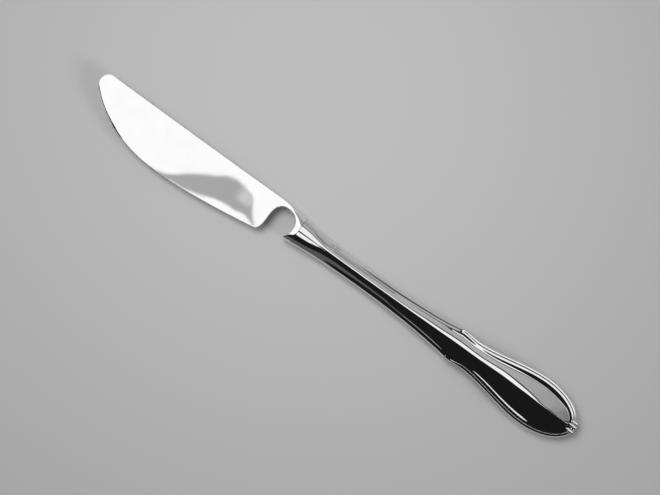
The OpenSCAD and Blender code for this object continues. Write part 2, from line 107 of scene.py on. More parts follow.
# Slopes of the border at those distances: place, slopes
SLOPES = (
    (0, 1.12, 0.97, 0.97, 0.97, 0.97, 0.95, 0.80, 0.74, 0.70, 0.66, 0.60),
    (4.8, 1.12, 0.97, 0.97, 0.97, 0.97, 0.97, 0.85, 0.78, 0.74, 0.70, 0.65),
    (8.4, 1.12, 0.97, 0.97, 0.97, 0.97, 0.97, 0.95, 0.88, 0.84, 0.80, 0.75),
    (12, 1.12, 0.98, 0.98, 0.98, 0.98, 0.98, 0.97, 0.97, 0.93, 0.88, 0.85),
    (19.4, 1.12, 0.90, 0.86, 0.60, 0.70, 0.97, 0.97, 0.97, 0.97, 0.95, 0.88),
    (34, 1.15, 0.80, 0.62, 0.30, 0.33, 0.80, 0.95, 0.97, 0.97, 0.95, 0.85),
    (40, 1.15, 0.78, 0.60, 0.28, 0.32, 0.80, 0.95, 0.97, 0.95, 0.93, 0.85),
    (45, 1.15, 0.75, 0.58, 0.26, 0.30, 0.97, 1.05, 0.75, 0.80, 0.93, 0.85),
    (50.5, 1.15, 0.72, 0.56, 0.28, 0.30, 1.06, 1.06, 0.38, 0.45, 0.82, 0.80),
    (56, 1.15, 0.70, 0.55, 0.30, 0.32, 1.07, 1.07, 0.30, 0.36, 0.65, 0.75),
    (61.5, 1.15, 0.68, 0.55, 0.32, 0.33, 1.07, 1.07, 0.30, 0.34, 0.62, 0.70),
    (65, 1.15, 0.62, 0.52, 0.32, 0.40, 1.07, 1.06, 0.30, 0.30, 0.38, 0.46),
    (67, 1.15, 0.56, 0.50, 0.30, 0.45, 1.06, 1.02, 0.30, 0.28, 0.17, 0.17),
    (69.2, 1.15, 0.48, 0.46, 0.28, 0.46, 0.50, 0.48, 0.28, 0.28, 0.17, 0.17),
    (70, 1.10, 0.17, 0.15, 0.10, 0.15, 0.17, 0.17, 0.28, 0.28, 0.17, 0.17),
    (72.5, 1.10, 0.17, 0.15, -0.10, 0.40, 0.17, 0.17, 0.28, 0.28, 0.17, 0.17),
    (78, 1.10, 0.17, 0.15, -0.55, 0.45, 0.16, 0.15, 0.15, 0.15, 0.15, 0.16),
    (84, 1.10, 0.17, 0.15, -0.60, 0.45, 0.16, 0.14, -0.18, -0.04, 0.04, 0.18),
    (87, 1.10, 0.17, 0.15, -0.60, 0.50, 0.16, 0.14, -0.18, -0.06, 0.04, 0.18),
    (91, 1.10, 0.17, 0.15, -0.60, 0.50, 0.16, 0.14, -0.19, -0.06, 0.04, 0.18),
    (96, 1.10, 0.17, 0.15, -0.62, 0.50, 0.16, 0.14, -0.19, -0.06, 0.03, 0.18),
    (102, 1.10, 0.17, 0.15, -0.62, 0.50, 0.16, 0.14, -0.19, -0.06, 0.01, 0.20),
    (107, 1.10, 0.17, 0.15, -0.62, 0.50, 0.16, 0.14, -0.19, -0.06, 0.01, 0.20),
    (110, 1.10, 0.17, 0.15, -0.62, 0.50, 0.16, 0.14, -0.03, -0.03, 0.01, 0.20))
# Slope of the flank near the joint. Behind this stretch the flank takes up what height is left.
FRONT_FLANK = ((0, 0.5), (4.8, 0.6), (8.4, 0.72), (12, 0.82))
FRONT_END = 14
# Lengths over which the flank bends at its foot and at the ridge's crown: place, length
FOOT_BEND = ((0, 0.05), (8, 0.15), (80, 0.3), (84, 0.5), (96, 0.5), (102, 0.25), (112, 0.2), (118, 0.04))
CROWN_BEND = ((0, 0.15), (40, 0.15), (56, 0.5))
# Largest share of the flank that either bend takes
BEND_SHARE = 0.4
CROWN_SLOPE = 0.2
# The rim's first point with a slope: distance in and slope
RIM_IN, RIM_SLOPE = 0.05, 2.4
# The wall under the rim: height of its lower point, then distances in and below the rim of its last two
WALL_LOW = 0.3
WALL_TOP = ((0.0, 0.14), (0.015, 0.06))
# The inside of the sheet keeps this far behind and below the flank's foot
INSIDE_BACK, INSIDE_UNDER = 0.3, 0.72
# Rows of the shell up to each place, rows round the butt, and points on each stretch of a section
SHELL_ROWS = ((FRONT_END, 36), (64, 84), (84, 60), (BULB_X, 56))
BUTT_ROWS = 60
STRETCH_POINTS = 6
# Edges sharper than this stay sharp
SHELL_CREASE = math.radians(50)


def metres(points):
    """Millimetres from the joint to metres of the frame."""
    return (np.asarray(points, float) + (JOINT_X, AXIS_Y, PART_Z)) / 1000


def between(a, b, slope_a, slope_b, span, t):
    """A smooth run from a to b over a span, with a slope at each end."""
    return (a * (2 * t**3 - 3 * t**2 + 1) + b * (3 * t**2 - 2 * t**3)
            + slope_a * span * (t**3 - 2 * t**2 + t) + slope_b * span * (t**3 - t**2))


def follow(table, x):
    """Smooth curves through given rows, each a place and its values, read at x."""
    table = np.asarray(table, float)
    places, values = table[:, 0], table[:, 1:]
    x = min(max(x, places[0]), places[-1])
    k = int(min(max(np.searchsorted(places, x, side="right") - 1, 0), len(places) - 2))
    steps = np.diff(places)
    grades = np.diff(values, axis=0) / steps[:, None]
    before, after = grades[:-1], grades[1:]
    # The slope at a row is the harmonic mean of those on its two sides, so no curve swings past its rows
    total = np.where(before * after > 0, before + after, 1)
    slopes = np.zeros_like(values)
    slopes[1:-1] = np.where(before * after > 0, 2 * before * after / total, 0)
    return between(values[k], values[k + 1], slopes[k], slopes[k + 1], steps[k], (x - places[k]) / steps[k])


def half_width(x):
    """Half of the handle's width at x."""
    parts = (
        (0, JOINT_W, JOINT_TURN, WAIST_X, WAIST_W, 0), (WAIST_X, WAIST_W, 0, CUSP_X, CUSP_W, CUSP_IN),
        (CUSP_X, CUSP_W, CUSP_OUT, PINCH_X, PINCH_W, 0), (PINCH_X, PINCH_W, PINCH_TURN, BULB_X, BULB_W, 0))
    for start, start_w, start_slope, end, end_w, end_slope in parts:
        if x < end:
            span = end - start
            return between(start_w / 2, end_w / 2, start_slope, end_slope, span, (x - start) / span)
    return BULB_W / 2 * math.sqrt(max(0.0, 1 - ((x - BULB_X) / (HANDLE_L - BULB_X)) ** 2))


def section_profile(x, ridge_x, reach):
    """Points (distance in from the rim, height) of a half section, from the rim to the ridge."""
    ridge_z = float(follow(RIDGE_Z, ridge_x)[0])
    rim_z = float(follow(RIM_Z, x)[0])
    flank = float(follow(FRONT_FLANK, x)[0])
    places = [RIM_IN] + list(follow(BORDER, x))
    slopes = [RIM_SLOPE] + list(follow(SLOPES, x))
    crown = CROWN_SLOPE * float(follow(RIDGE_R, ridge_x)[0])
    room = reach - crown - places[-1]
    low = min(float(follow(FOOT_BEND, x)[0]), room * BEND_SHARE)
    high = min(float(follow(CROWN_BEND, x)[0]), room * BEND_SHARE)
    if x > FRONT_END:
        border = sum((end - start) * (first + second) / 2
                     for start, end, first, second in zip(places, places[1:], slopes, slopes[1:]))
        bends = low * slopes[-1] / 2 + high * CROWN_SLOPE / 2 + crown * CROWN_SLOPE / 2
        flank = (ridge_z - rim_z - border - bends) / (room - (low + high) / 2)
    places += [places[-1] + low, reach - crown - high, reach - crown, reach]
    slopes += [flank, flank, CROWN_SLOPE, 0.0]
    points = [(places[0], 0.0)]
    for start, end, first, second in zip(places, places[1:], slopes, slopes[1:]):
        z = points[-1][1]
        for k in range(1, STRETCH_POINTS + 1):
            t = k / STRETCH_POINTS
            rise = (end - start) * (first * t + (second - first) * t * t / 2)
            points.append((start + (end - start) * t, z + rise))
    rim = ridge_z - points[-1][1]
    wall = [(0.0, SEAM_HALF), (0.0, WALL_LOW)] + [(d, rim - z) for d, z in WALL_TOP]
    return wall + [(d, rim + z) for d, z in points]


def section_line(x):
    """Rim point, direction towards the ridge, place on the ridge and length of the section at x."""
    ridge_x = x
    if x > FAN_START:
        ridge_x = FAN_START + (RIDGE_END - FAN_START) * (x - FAN_START) / (HANDLE_L - FAN_START)
    rim, ridge = np.array((x, half_width(x))), np.array((ridge_x, 0.0))
    reach = float(np.hypot(*(ridge - rim)))
    return rim, (ridge - rim) / reach, ridge_x, reach


def outside_points(x):
    """The outside of the half section at x, from the rim to the ridge."""
    rim, way, ridge_x, reach = section_line(x)
    return [(*(rim + way * d), z) for d, z in section_profile(x, ridge_x, reach)]


def inside_points(x):
    """The inside of the sheet at x, in a few points."""
    rim, way, ridge_x, reach = section_line(x)
    profile = section_profile(x, ridge_x, reach)
    # Three quarters of the way along the points lies the flank's foot
    foot_d, foot_z = profile[len(profile) * 3 // 4]
    top = float(follow(RIDGE_Z, ridge_x)[0]) - SHEET_T
    bends = ((SHEET_T, SEAM_HALF), (SHEET_T, WALL_LOW),
             (foot_d + INSIDE_BACK, min(foot_z, top) - INSIDE_UNDER), (reach, top))
    return [(*(rim + way * min(d, reach)), z) for d, z in bends]


def new_mesh(name, points, faces, crease=None):
    """A smooth mesh from points in millimetres, with sharp edges above the crease angle."""
    mesh = bpy.data.meshes.new(name)
    mesh.from_pydata([tuple(p) for p in metres(points)], [], faces)
    mesh.validate()
    mesh.shade_smooth()
    if crease:
        mesh.set_sharp_from_angle(angle=crease)
    return mesh


def shell_mesh(name, side):
    """One half shell; side is 1 for the upper and -1 for the lower."""
    xs, start = [], SHELL_START
    for end, count in SHELL_ROWS:
        xs += [start + (end - start) * k / count for k in range(count)]
        start = end
    turns = [math.pi / 2 * k / BUTT_ROWS for k in range(BUTT_ROWS + 1)]
    xs += [BULB_X + (HANDLE_L - BULB_X) * math.sin(turn) for turn in turns]
    last = len(xs) - 1
    points, faces, starts, widths = [], [], [], []
    for half_section in (outside_points, inside_points):
        rows = [half_section(x) for x in xs]
        starts.append(len(points))
        widths.append(2 * len(rows[0]) - 1)
        for k, row in enumerate(rows):
            points += [(x, y, side * z) for x, y, z in row]
            # At the butt both sides share one row
            if k < last:
                points += [(x, -y, side * z) for x, y, z in reversed(row[:-1])]

    def index(skin, k, c):
        """Number of a point: its skin, its row and its place in the row."""
        c %= widths[skin]
        if k == last:
            c = min(c, widths[skin] - 1 - c)
        return starts[skin] + k * widths[skin] + c

    def face(corners):
        """Adds a face, turned outwards, with each corner once."""
        ring = list(dict.fromkeys(corners))
        if len(ring) > 2:
            faces.append(ring if side > 0 else ring[::-1])

    for k in range(last):
        for c in range(widths[0] - 1):
            face((index(0, k, c), index(0, k, c + 1), index(0, k + 1, c + 1), index(0, k + 1, c)))
        for c in range(widths[1] - 1):
            face((index(1, k, c), index(1, k + 1, c), index(1, k + 1, c + 1), index(1, k, c + 1)))
        face((index(0, k, 0), index(0, k + 1, 0), index(1, k + 1, 0), index(1, k, 0)))
        face((index(0, k, -1), index(1, k, -1), index(1, k + 1, -1), index(0, k + 1, -1)))
    # The end at the joint is one face
    face([index(1, 0, c) for c in range(widths[1])] + [index(0, 0, c) for c in reversed(range(widths[0]))])
    return new_mesh(name, points, faces, SHELL_CREASE)


def linear(hex_code):
    """An sRGB hex colour as linear RGBA."""
    values = [int(hex_code[k:k + 2], 16) / 255 for k in (1, 3, 5)]
    return [v / 12.92 if v <= 0.04045 else ((v + 0.055) / 1.055) ** 2.4 for v in values] + [1.0]


def add(tree, kind, settings=None, links=None):
    """Adds a node, with settings by property or socket and links from other nodes' outputs by socket."""
    node = tree.nodes.new(kind)
    for key, value in (settings or {}).items():
        if isinstance(key, str) and hasattr(node, key):
            setattr(node, key, value)
        else:
            node.inputs[key].default_value = value
    for key, source in (links or {}).items():
        tree.links.new(source, node.inputs[key])
    return node


def new_material(name):
    """A material to fill: itself, its nodes and the place on the object."""
    material = bpy.data.materials.new(name)
    material.use_nodes = True
    tree = material.node_tree
    tree.nodes.clear()
    return material, tree, add(tree, "ShaderNodeTexCoord").outputs["Object"]


# Stainless steel 18/10, pressed and buffed to a mirror. The eye sees the room in it, a very faint haze from
# the buffing and a few hair-fine scratches from use.
def buffed_stainless(name, colour, haze):
    """Mirror-bright steel, in its own colour and that of the haze."""
    material, tree, place = new_material(name)
    # Buffing haze in patches of about 6 mm
    cloud = add(tree, "ShaderNodeTexNoise", {"Scale": 160.0, "Detail": 3.0}, {"Vector": place}).outputs[0]
    amount = add(tree, "ShaderNodeMapRange", {1: 0.3, 2: 0.7, 3: 0.0, 4: 1.0}, {0: cloud}).outputs[0]
    rough = add(tree, "ShaderNodeMapRange", {1: 0.3, 2: 0.7, 3: 0.01, 4: 0.02}, {0: cloud}).outputs[0]
    tints = {"data_type": "RGBA", 6: linear(colour), 7: linear(haze)}
    tone = add(tree, "ShaderNodeMix", tints, {0: amount}).outputs[2]
    # Scratches lie along the knife, 3.3 mm long and 0.15 mm apart: wider than real ones, so that they show
    lie = add(tree, "ShaderNodeMapping", {"Scale": (300.0, 6600.0, 6600.0)}, {"Vector": place}).outputs[0]
    scratches = add(tree, "ShaderNodeTexNoise", {"Scale": 1.0, "Detail": 2.0}, {"Vector": lie}).outputs[0]
    relief = {"Strength": 0.005, "Distance": 0.00002}
    bump = add(tree, "ShaderNodeBump", relief, {"Height": scratches}).outputs[0]
    steel = add(tree, "ShaderNodeBsdfPrincipled", {"Metallic": 1.0},
                {"Base Color": tone, "Roughness": rough, "Normal": bump})
    add(tree, "ShaderNodeOutputMaterial", {}, {"Surface": steel.outputs[0]})
    return material


def new_object(name, data):
    """An object in the scene."""
    item = bpy.data.objects.new(name, data)
    bpy.context.scene.collection.objects.link(item)
    return item


handle_steel = buffed_stainless("stainless steel, pressed and buffed", "#F1F1F1", "#ECECED")
for word, side in (("upper", 1), ("lower", -1)):
    name = f"handle_shell_{word}"
    shell = new_object(name, shell_mesh(name, side))
    shell.data.materials.append(handle_steel)
    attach(shell, "root")
    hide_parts(f"handle_half_{word}")

# Ribs across the butt.
# Three short beads on each side, struck in the same pressing as the shells. They run over the butt's rim
# and meet at the seam.

# Distance of each rib from the middle line, and the length of its inner slope as a share of the longest
RIBS = ((-1.38, 0.75), (0.7, 1.0), (2.1, 0.6))
# How far the ribs stand past the shells' end, half of a rib's width, its depth and how square it is
RIB_REACH, RIB_R, RIB_DEEP, RIB_SQUARE = 0.35, 0.8, 0.65, 0.67
# Along a rib, from its inner end over the rim to the seam: place, height of its top and share of its radius
RIB_PATH = (
    (-3.3, 1.34, 0.2), (-2.95, 1.56, 0.65), (-2.6, 1.82, 0.9), (-2.48, 1.91, 1.0), (-2.42, 1.93, 1.0),
    (-2.36, 1.92, 1.0), (-1.9, 1.76, 1.0), (-1.35, 1.58, 1.0), (-0.9, 1.42, 1.0), (-0.45, 1.25, 1.0),
    (-0.08, 1.11, 1.0), (0.06, 0.95, 1.0), (0.1, 0.5, 1.0), (0.1, 0.05, 1.0))
# The path's highest place. What lies inside it is stretched to a rib's own length.
RIB_TOP = -2.42
# Rings along a rib and points round each
RIB_RINGS, RING_POINTS = 45, 24


def rib_mesh(name, side, across, inner):
    """One rib: rings of a squared bead along a path that bends over the rim."""
    end = BULB_X + (HANDLE_L + RIB_REACH - BULB_X) * math.sqrt(1 - (2 * across / BULB_W) ** 2)
    path = np.array(RIB_PATH)
    path[:, 0] += np.minimum(path[:, 0] - RIB_TOP, 0) * (inner - 1)
    table = np.column_stack((np.arange(len(path)), path))
    rings = [follow(table, t) for t in np.linspace(0, len(path) - 1, RIB_RINGS)]
    points, faces = [], []
    for k, (x, z, size) in enumerate(rings):
        before, after = rings[max(k - 1, 0)], rings[min(k + 1, RIB_RINGS - 1)]
        way = Vector((after[0] - before[0], after[1] - before[1])).normalized()
        for j in range(RING_POINTS):
            turn = 2 * math.pi * j / RING_POINTS
            wide, high = (math.copysign(abs(v) ** RIB_SQUARE, v) for v in (math.sin(turn), math.cos(turn)))
            down = RIB_DEEP * size * (high - 1)
            points.append((end + x - way.y * down, across + RIB_R * size * wide,
                           side * max(SEAM_HALF, z + way.x * down)))
    for k in range(RIB_RINGS - 1):
        row, following = k * RING_POINTS, (k + 1) * RING_POINTS
        for j in range(RING_POINTS):
            i = (j + 1) % RING_POINTS
            faces.append((row + j, row + i, following + i, following + j))
    last = (RIB_RINGS - 1) * RING_POINTS
    faces += [list(range(RING_POINTS))[::-1], [last + j for j in range(RING_POINTS)]]
    if side > 0:
        faces = [list(ring)[::-1] for ring in faces]
    return new_mesh(name, points, faces)


for word, side in (("upper", 1), ("lower", -1)):
    for k, (across, inner) in enumerate(RIBS, 1):
        rib = new_object(f"butt_rib_{word}_{k}", rib_mesh("butt_rib", side, across, inner))
        rib.data.materials.append(handle_steel)
        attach(rib, "root")

# Blade, neck, bolster and tang.
# One forging of martensitic stainless steel: the blade is ground to a thin wedge, the neck arches over the
# open notch, and the bolster meets the handle with the same section. All of it is buffed to a mirror.

TIP_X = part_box("blade")[0].x * 1000 - JOINT_X
SPINE_T, EDGE_T = 2.0, 0.4
SPINE_Y, BLADE_W = 6.5, 19.0
# Half of the blade's taper, as a slope from the edge to the spine
BEVEL = (SPINE_T - EDGE_T) / 2 / BLADE_W
# The tang's two ends, each a place and half of the width, and half of its thickness
TANG_START, TANG_END, TANG_HALF_T = (-1.0, 2.0), (62.0, 1.3), 1.2

# Outline from the neck round the blade and the notch to the beak, as curves: each has two ends and the two
# points that it leans towards, and a number of steps
OUTLINE = (
    ((-11.4, 6.5), (-30, 6.45), (-60, 6.54), (-88.6, 6.92), 150),
    ((-88.6, 6.92), (-90.6, 6.4), (-91.3, 4.6), (-91.2, 2.9), 14),
    ((-91.2, 2.9), (-90.9, -1.6), (-76, -12.3), (-57, -12.42), 120),
    ((-57, -12.42), (-46, -12.92), (-30, -10.9), (-14.2, -8.36), 90),
    ((-14.2, -8.36), (-12.5, -8.0), (-12.05, -5.6), (-12.05, -3.0), 20),
    ((-12.05, -3.0), (-12.05, -0.5), (-12.35, 4.6), (-7.9, 4.6), 30),
    ((-7.9, 4.6), (-4.1, 4.6), (-1.95, 2.1), (-1.95, -1.0), 30),
    ((-1.95, -1.0), (-1.95, -2.9), (-2.9, -4.3), (-3.8, -5.35), 18))
BEAK = OUTLINE[-1][3]
BACK = ((-11.4, 6.5), (-7.4, 6.46), (-3.4, 5.63), (0, JOINT_W / 2))
# Steps of the outline's other parts, and steps in which the bolster's shape reads its back
BEAK_STEPS, JOINT_STEPS, BACK_STEPS, READ_STEPS = 12, 50, 36, 40
# Swelling of the bolster: place, height of its crown and height of its rim
SWELL = (
    (-12.4, 0.0, 0.6), (-11, 0.95, 0.72), (-9.2, 1.07, 0.86), (-7.7, 1.47, 1.12), (-6.2, 2.06, 1.45),
    (-4.8, 2.67, 1.62), (-3.3, 3.22, 1.7), (-1.8, 3.85, 1.68), (-0.9, 4.1, 1.62), (0, 4.2, 1.53))
# Towards the tip the edge is rubbed over a band: distance in from the outline, depth taken off
RUBBED = ((0.0, 0.42), (0.30, 0.055), (0.36, 0.04), (0.54, 0.005), (0.62, 0.0))
# Where the band begins and the length over which it grows, towards the tip and towards the edge's side
RUBBED_X, RUBBED_GROW_X, RUBBED_Y, RUBBED_GROW_Y = -70, 12, 1.5, 3
# Radius of the eased edges on the blade, what it gains on the bolster, and where and over what length
EASE_R, EASE_MORE, EASE_X, EASE_GROW = 0.12, 0.1, -11, 6
# Largest shares of the local height that easing and rubbing take
EASE_SHARE, RUBBED_SHARE = 0.45, 0.8
# Points of the skin: two grids, each a step, a start and an end; their limits across; rows by the outline
GRIDS = ((0.5, TIP_X, -16.0), (0.25, -16.0, 0.0))
GRID_Y = (-13.0, 7.5)
ROW_INSETS = (0.05, 0.12, 0.22, 0.3, 0.36, 0.54, 0.62, 0.8)
# Share of a step that a grid keeps from its end
GRID_MARGIN = 0.3
# Least distances of a grid point and of a row point from the outline, and from the joint
GRID_CLEAR, ROW_CLEAR = 0.95, 0.03
GRID_JOINT, ROW_JOINT = -0.1, -0.04
# Points closer together than this are one
WELD = 1e-7
FORGING_CREASE = math.radians(35)


def bezier(start, lean_start, lean_end, end, count):
    """Points of a curve, without its last one."""
    points = []
    for k in range(count):
        t = k / count
        s = 1 - t
        weights = (s**3, 3 * s * s * t, 3 * s * t * t, t**3)
        corners = (start, lean_start, lean_end, end)
        points.append([sum(w * corner[i] for w, corner in zip(weights, corners)) for i in (0, 1)])
    return points


def straight(start, end, count):
    """Points of a straight line, without its last one."""
    return [[a + (b - a) * k / count for a, b in zip(start, end)] for k in range(count)]


outline = [point for curve in OUTLINE for point in bezier(*curve)]
outline += straight(BEAK, (0, -JOINT_W / 2), BEAK_STEPS)
outline += straight((0, -JOINT_W / 2), (0, JOINT_W / 2), JOINT_STEPS)
outline += bezier(*BACK[::-1], BACK_STEPS)
outline = np.array(outline)
back_x, back_y = np.array(bezier(*BACK, READ_STEPS) + [list(BACK[-1])]).T
joint_profile = np.array(section_profile(0.0, 0.0, JOINT_W / 2)[2:])


def outline_distance(points):
    """How far each point lies from the outline without the joint face."""
    start, end = outline, np.roll(outline, -1, axis=0)
    keep = (start[:, 0] < 0) | (end[:, 0] < 0)
    start, side = start[keep], (end - start)[keep]
    best = []
    for point in points:
        share = np.clip(((point - start) * side).sum(1) / (side**2).sum(1), 0, 1)
        best.append(np.hypot(*(point - start - side * share[:, None]).T).min())
    return np.array(best)


def inside_outline(points):
    """Which points lie inside the outline."""
    x, y = points.T
    inside = np.zeros(len(points), bool)
    for (x0, y0), (x1, y1) in zip(outline, np.roll(outline, -1, axis=0)):
        if y0 != y1:
            inside ^= ((y0 > y) != (y1 > y)) & (x < (x1 - x0) * (y - y0) / (y1 - y0) + x0)
    return inside


def smooth(t):
    """A share from 0 to 1, eased at both ends."""
    t = np.clip(t, 0, 1)
    return t * t * (3 - 2 * t)


def forged_height(x, y):
    """Height of the forging over the parting plane, before its edges are eased."""
    wedge = EDGE_T / 2 + BEVEL * (y - (SPINE_Y - BLADE_W))
    # The bolster carries on the handle's section, and is planed down from its crown to the neck
    place, crown, rim = np.array(SWELL).T
    high = np.interp(x, back_x, back_y)
    low = BEAK[1] - (JOINT_W / 2 + BEAK[1]) * smooth(1 - x / BEAK[0])
    inset = np.minimum(high - y, y - low)
    section = np.interp(inset, *joint_profile.T) - joint_profile[1][1] + np.interp(x, place, rim)
    return np.maximum(wedge, np.minimum(section, np.interp(x, place, crown)))


def forging_mesh(name):
    """The blade, neck and bolster as one closed skin, with the tang."""
    grids = []
    for step, start, end in GRIDS:
        xs = np.arange(start + step / 2, end - step * GRID_MARGIN, step)
        grids.append(np.array([(x, y) for y in np.arange(*GRID_Y, step) for x in xs]))
    grid = np.vstack(grids)
    grid = grid[inside_outline(grid) & (grid[:, 0] < GRID_JOINT)]
    grid = grid[outline_distance(grid) > GRID_CLEAR]
    # Rows close to the outline carry its rounding
    way = np.roll(outline, -1, axis=0) - np.roll(outline, 1, axis=0)
    way /= np.linalg.norm(way, axis=1)[:, None]
    inward = np.column_stack((-way[:, 1], way[:, 0]))
    rows = np.vstack([outline + inward * inset for inset in ROW_INSETS])
    rows = rows[inside_outline(rows) & (rows[:, 0] < ROW_JOINT)]
    rows = rows[outline_distance(rows) > ROW_CLEAR]
    flat = [Vector(point) for point in np.vstack((outline, rows, grid))]
    # Mode 1 keeps the triangles inside the outline
    coords, _, faces, _, _, _ = delaunay_2d_cdt(flat, [], [list(range(len(outline)))], 1, WELD)
    plan = np.array([tuple(point) for point in coords])
    depth = outline_distance(plan)
    height = forged_height(*plan.T)
    ease = EASE_R + EASE_MORE * smooth((plan[:, 0] - EASE_X) / EASE_GROW)
    drop = np.where(depth < ease, ease - np.sqrt(np.maximum(0, ease**2 - (ease - depth) ** 2)), 0)
    drop = np.minimum(drop, height * EASE_SHARE)
    along = smooth((RUBBED_X - plan[:, 0]) / RUBBED_GROW_X)
    front = along * smooth((RUBBED_Y - plan[:, 1]) / RUBBED_GROW_Y)
    rubbed = np.minimum(np.interp(depth, *np.array(RUBBED).T) * front, height * RUBBED_SHARE)
    height = height - np.maximum(drop, rubbed)
    total = len(plan)
    points = [(*point, side * z) for side in (1, -1) for point, z in zip(plan, height)]
    skin = [list(face) for face in faces] + [[total + v for v in reversed(face)] for face in faces]
    edges = [(p, q) for face in faces for p, q in zip(face, [*face[1:], face[0]])]
    known = set(edges)
    skin += [[q, p, total + p, total + q] for p, q in edges if (q, p) not in known]
    start = len(points)
    (x0, r0), (x1, r1), t = TANG_START, TANG_END, TANG_HALF_T
    points += [(x, y, z) for z in (-t, t) for x, y in ((x0, -r0), (x1, -r1), (x1, r1), (x0, r0))]
    sides = ((3, 2, 1, 0), (4, 5, 6, 7), (0, 1, 5, 4), (1, 2, 6, 5), (2, 3, 7, 6), (3, 0, 4, 7))
    skin += [[start + v for v in side] for side in sides]
    return new_mesh(name, points, skin, FORGING_CREASE)


blade_steel = buffed_stainless("stainless steel, ground and buffed", "#FDFDFD", "#F9F9FA")
blade = new_object("blade_forging", forging_mesh("blade_forging"))
blade.data.materials.append(blade_steel)
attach(blade, "root")
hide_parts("blade")

# Solder in the two joints.
# Pale hard solder drawn into the joints by capillary action. It lies a tenth of a millimetre below the
# polish and has gone dull, so each joint reads as a fine dark line.

# Hard solder, left to tarnish: a dull yellowish grey in spots of half a millimetre
solder, tree, place = new_material("hard solder, dulled")
spots = add(tree, "ShaderNodeTexNoise", {"Scale": 2000.0, "Detail": 2.0}, {"Vector": place}).outputs[0]
tints = {"data_type": "RGBA", 6: linear("#8C8878"), 7: linear("#5F5B50")}
tone = add(tree, "ShaderNodeMix", tints, {0: spots}).outputs[2]
bump = add(tree, "ShaderNodeBump", {"Strength": 0.3, "Distance": 0.00003}, {"Height": spots}).outputs[0]
metal = add(tree, "ShaderNodeBsdfPrincipled", {"Metallic": 1.0, "Roughness": 0.45},
            {"Base Color": tone, "Normal": bump})
add(tree, "ShaderNodeOutputMaterial", {}, {"Surface": metal.outputs[0]})
for node in ("seam_solder", "bolster_solder"):
    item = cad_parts[node]
    item.data.materials.clear()
    item.data.materials.append(solder)

# Filling of the handle.
# A filled resin, poured in hot round the tang. It is sealed inside and gives the handle its weight.

# Cast resin: matt and stone grey, with grains of filler about half a millimetre across
filling, tree, place = new_material("filled resin, cast")
grains = add(tree, "ShaderNodeTexNoise", {"Scale": 1800.0, "Detail": 4.0}, {"Vector": place}).outputs[0]
tints = {"data_type": "RGBA", 6: linear("#A79F92"), 7: linear("#857C6E")}
tone = add(tree, "ShaderNodeMix", tints, {0: grains}).outputs[2]
bump = add(tree, "ShaderNodeBump", {"Strength": 0.5, "Distance": 0.0001}, {"Height": grains}).outputs[0]
resin = add(tree, "ShaderNodeBsdfPrincipled", {"Roughness": 0.7},
            {"Base Color": tone, "Normal": bump})
add(tree, "ShaderNodeOutputMaterial", {}, {"Surface": resin.outputs[0]})
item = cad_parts["handle_filling"]
item.data.materials.clear()
item.data.materials.append(filling)

# Camera.
# It looks down at the knife, leaning 3 degrees from straight above, and is turned so that the knife lies
# aslant in the picture.

# Picture's width in pixels, a pixel's width at the knife and the camera's distance from it, in millimetres
PICTURE_W, PIXEL_MM, CAMERA_MM = 660, 0.3663, 600.0
# The point in the middle of the picture
MIDDLE_X, MIDDLE_Y = 12.94, 2.03
LEAN = math.radians(3)
# Way on the floor that points up in the picture
UP_WAY = (-0.5822, 0.8130, 0)
SENSOR_MM = 36.0

camera = new_object("camera", bpy.data.cameras.new("camera"))
camera.data.sensor_width = SENSOR_MM
camera.data.lens = SENSOR_MM * CAMERA_MM / (PICTURE_W * PIXEL_MM)
camera.data.clip_start = 0.01
back = Vector((0, -math.sin(LEAN), math.cos(LEAN)))
camera.location = Vector(metres((MIDDLE_X, MIDDLE_Y, 0))) + back * CAMERA_MM / 1000
up = Vector(UP_WAY)
up = (up - back * up.dot(back)).normalized()
camera.rotation_euler = Matrix((up.cross(back), up, back)).transposed().to_euler()
bpy.context.scene.camera = camera

# Floor and lamps.
# A sheet of pale paper under two soft round lamps, a high one beyond the tip and a low one beyond the
# butt. A pool of light is also painted into the paper's colour, lightest towards the top of the picture.
# The steel mirrors the studio below in place of the lamps.

# Half of the paper's width, in metres
PAPER_HALF = 3.0
# A pool of light is painted into the paper's colour, lightest towards the top of the picture: that place
# from the picture's middle, in millimetres, and the distance over which the painted light darkens, in
# metres
PAINTED_LIGHT_X, PAINTED_LIGHT_Y, PAINTED_LIGHT_REACH = -29.5, 41.2, 0.24
# Name, width, watts and place of each lamp, in metres
LAMPS = (("key", 0.85, 12.6, (-0.62, 0.11, 1.2)), ("fill", 0.5, 7.0, (1.2, 0, 0.55)))

floor = new_object("floor", bpy.data.meshes.new("floor"))
corners = [(x * PAPER_HALF, y * PAPER_HALF, 0) for x, y in ((-1, -1), (1, -1), (1, 1), (-1, 1))]
floor.data.from_pydata(corners, [], [(0, 1, 2, 3)])
# Uncoated paper: matt, with a painted pool of light in its colour that falls off softly all round
paper, tree, place = new_material("matte paper, pale, with painted light")
painted_light_middle = metres((MIDDLE_X + PAINTED_LIGHT_X, MIDDLE_Y + PAINTED_LIGHT_Y, -PART_Z))
around = {"vector_type": "TEXTURE", "Location": painted_light_middle, "Scale": [PAINTED_LIGHT_REACH] * 3}
spread = add(tree, "ShaderNodeMapping", around, {"Vector": place}).outputs[0]
ball = add(tree, "ShaderNodeTexGradient", {"gradient_type": "SPHERICAL"}, {"Vector": spread}).outputs[1]
painted_falloff = add(tree, "ShaderNodeMapRange", {"interpolation_type": "SMOOTHSTEP"}, {0: ball}).outputs[0]
# Painted light: the paper's colour runs from the darker grey far off to the lighter grey at the pool's
# middle
tints = {"data_type": "RGBA", 6: linear("#A9A9AA"), 7: linear("#C3C3C4")}
tone = add(tree, "ShaderNodeMix", tints, {0: painted_falloff}).outputs[2]
sheet = add(tree, "ShaderNodeBsdfPrincipled", {"Roughness": 0.9, "Specular IOR Level": 0.1},
            {"Base Color": tone})
add(tree, "ShaderNodeOutputMaterial", {}, {"Surface": sheet.outputs[0]})
floor.data.materials.append(paper)

